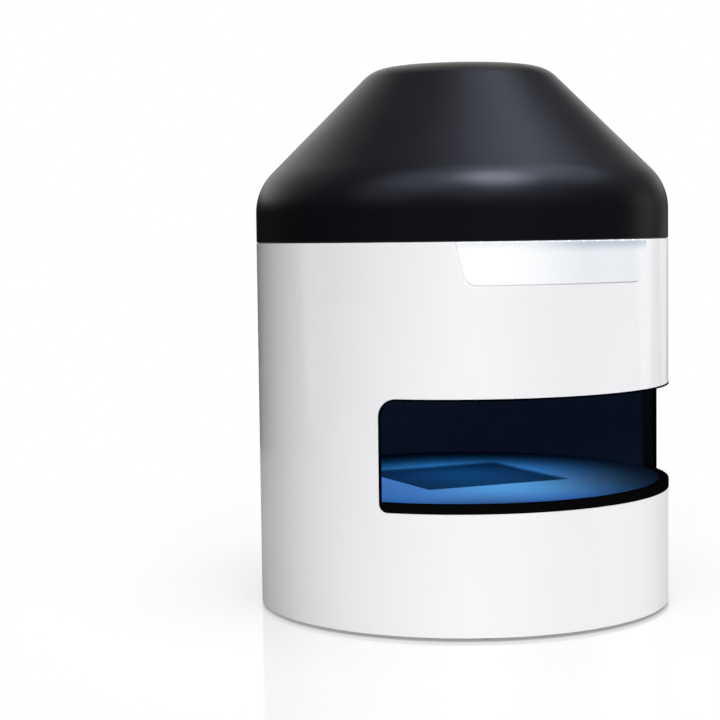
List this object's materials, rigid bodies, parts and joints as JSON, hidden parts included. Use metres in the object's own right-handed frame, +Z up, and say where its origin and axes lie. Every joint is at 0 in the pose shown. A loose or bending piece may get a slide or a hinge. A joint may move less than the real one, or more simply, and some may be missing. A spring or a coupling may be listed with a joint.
{
  "type": "colony counter",
  "caption": "Drum-shaped colony counter: white drum with a wrap-round window, dark imaging chamber with a square glass stage, black conical cover housing a downward camera and light dome.",
  "frame": {"origin": "on the drum's axis at the table, under the soles of the feet", "axes": "+Z up along the drum's axis, the front with the badge faces -Y, +X is to the right seen from the front"},
  "size_m": [0.48, 0.4833, 0.628],
  "materials": {
    "white_paint": "gloss",
    "cover_black": "satin",
    "black_trim": "gloss",
    "stage_black": "gloss",
    "liner_black": "satin",
    "stage_glass": "polished",
    "clear_glass": "polished",
    "white_plastic": "matte",
    "badge_white": "gloss",
    "led": "gloss",
    "base_metal": "matte",
    "panel_black": "matte",
    "fan_black": "matte",
    "component_black": "satin",
    "circuit_board": "satin",
    "camera_grey": "anodised",
    "lens_black": "anodised",
    "aluminium": "satin",
    "steel": "satin",
    "rubber": "matte"
  },
  "bodies": {
    "instrument": {"lower_shell": "white_paint", "upper_shell": "white_paint", "left_wall": "white_paint", "right_wall": "white_paint", "rear_cover": "white_paint", "rear_screws": "steel", "window_trim": "black_trim", "window_sill": "black_trim", "base_plate": "base_metal", "base_screws": "steel", "rubber_feet": "rubber", "foot_screws": "steel", "stage_plate": "stage_black", "stage_glass": "stage_glass", "diffuser_plate": "white_plastic", "light_box": "aluminium", "backlight_board": "circuit_board", "backlight_leds": "led", "tie_rods": "steel", "floor_spacers": "aluminium", "floor_posts": "aluminium", "deck_nuts": "steel", "post_screws": "steel", "liner_right": "liner_black", "liner_back": "liner_black", "liner_left": "liner_black", "side_sheet": "liner_black", "chamber_ceiling": "liner_black", "ceiling_window": "clear_glass", "light_dome": "white_plastic", "ring_board": "circuit_board", "ring_leds": "led", "lens_front_cell": "lens_black", "lens_barrel": "lens_black", "front_lens": "clear_glass", "lens_mount": "steel", "camera_body": "camera_grey", "camera_bracket": "aluminium", "bracket_screws": "steel", "top_deck": "aluminium", "top_cover": "cover_black", "cover_screws": "steel", "badge_plate": "badge_white", "badge_leds": "led", "rear_panel": "panel_black", "dc_jack": "panel_black", "usb_port": "steel", "switch_body": "panel_black", "fan_housing": "fan_black", "fan_screws": "steel", "board_posts": "steel", "control_board": "circuit_board", "board_components": "component_black"},
    "switch_rocker": {"switch_rocker": "panel_black"},
    "fan_rotor": {"fan_rotor": "fan_black"},
    "focus_ring": {"focus_ring": "lens_black"},
    "iris_ring": {"iris_ring": "lens_black"}
  },
  "joints": [
    {"name": "switch_tip", "type": "hinge", "parent": "instrument", "child": "switch_rocker", "pos_m": [-0.076, 0.204, 0.068], "axis": [1, 0, 0], "range_deg": [-16, 0]},
    {"name": "fan_spin", "type": "hinge", "parent": "instrument", "child": "fan_rotor", "pos_m": [0.05, 0.191, 0.068], "axis": [0, 1, 0], "continuous": true},
    {"name": "focus_turn", "type": "hinge", "parent": "instrument", "child": "focus_ring", "pos_m": [0, 0, 0.3712], "axis": [0, 0, 1], "range_deg": [-60, 60]},
    {"name": "iris_turn", "type": "hinge", "parent": "instrument", "child": "iris_ring", "pos_m": [0, 0, 0.3926], "axis": [0, 0, 1], "range_deg": [-40, 40]}
  ]
}
